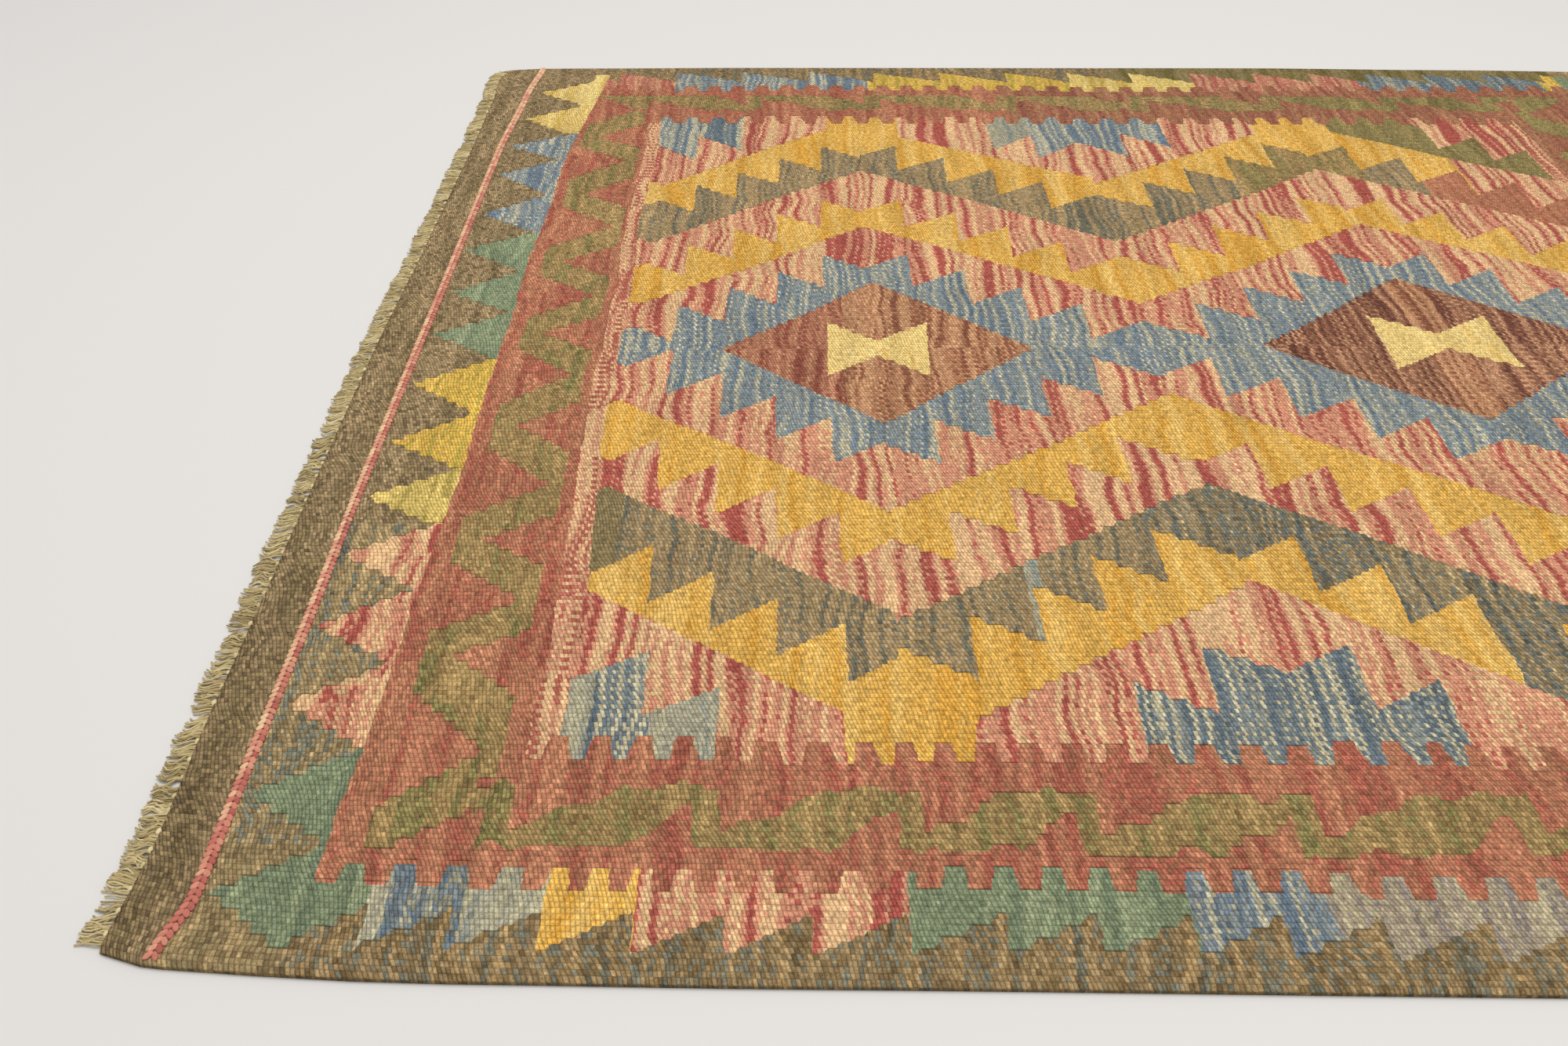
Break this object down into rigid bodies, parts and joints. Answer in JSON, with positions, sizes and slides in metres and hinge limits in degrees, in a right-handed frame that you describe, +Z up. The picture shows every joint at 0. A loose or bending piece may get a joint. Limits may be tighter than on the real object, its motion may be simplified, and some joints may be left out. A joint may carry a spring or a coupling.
{
  "type": "kilim rug",
  "caption": "Flat slit-woven wool rug with diamond and zigzag bands, stepped borders, twined end lines and a short cut warp fringe at each end.",
  "frame": {"origin": "on the flat underside, at the middle of the cloth's true rectangle", "axes": "+X along the warps towards the right-hand fringe, +Y across the width, +Z up from the floor"},
  "size_m": [1.1044, 0.977, 0.0044],
  "materials": {
    "kilim_wool": "matt weft-faced wool",
    "warp_fringe": "matt undyed warp yarn"
  },
  "bodies": {
    "root": {"kilim_cloth": "kilim_wool", "fringe_left": "warp_fringe", "fringe_right": "warp_fringe"}
  },
  "joints": []
}
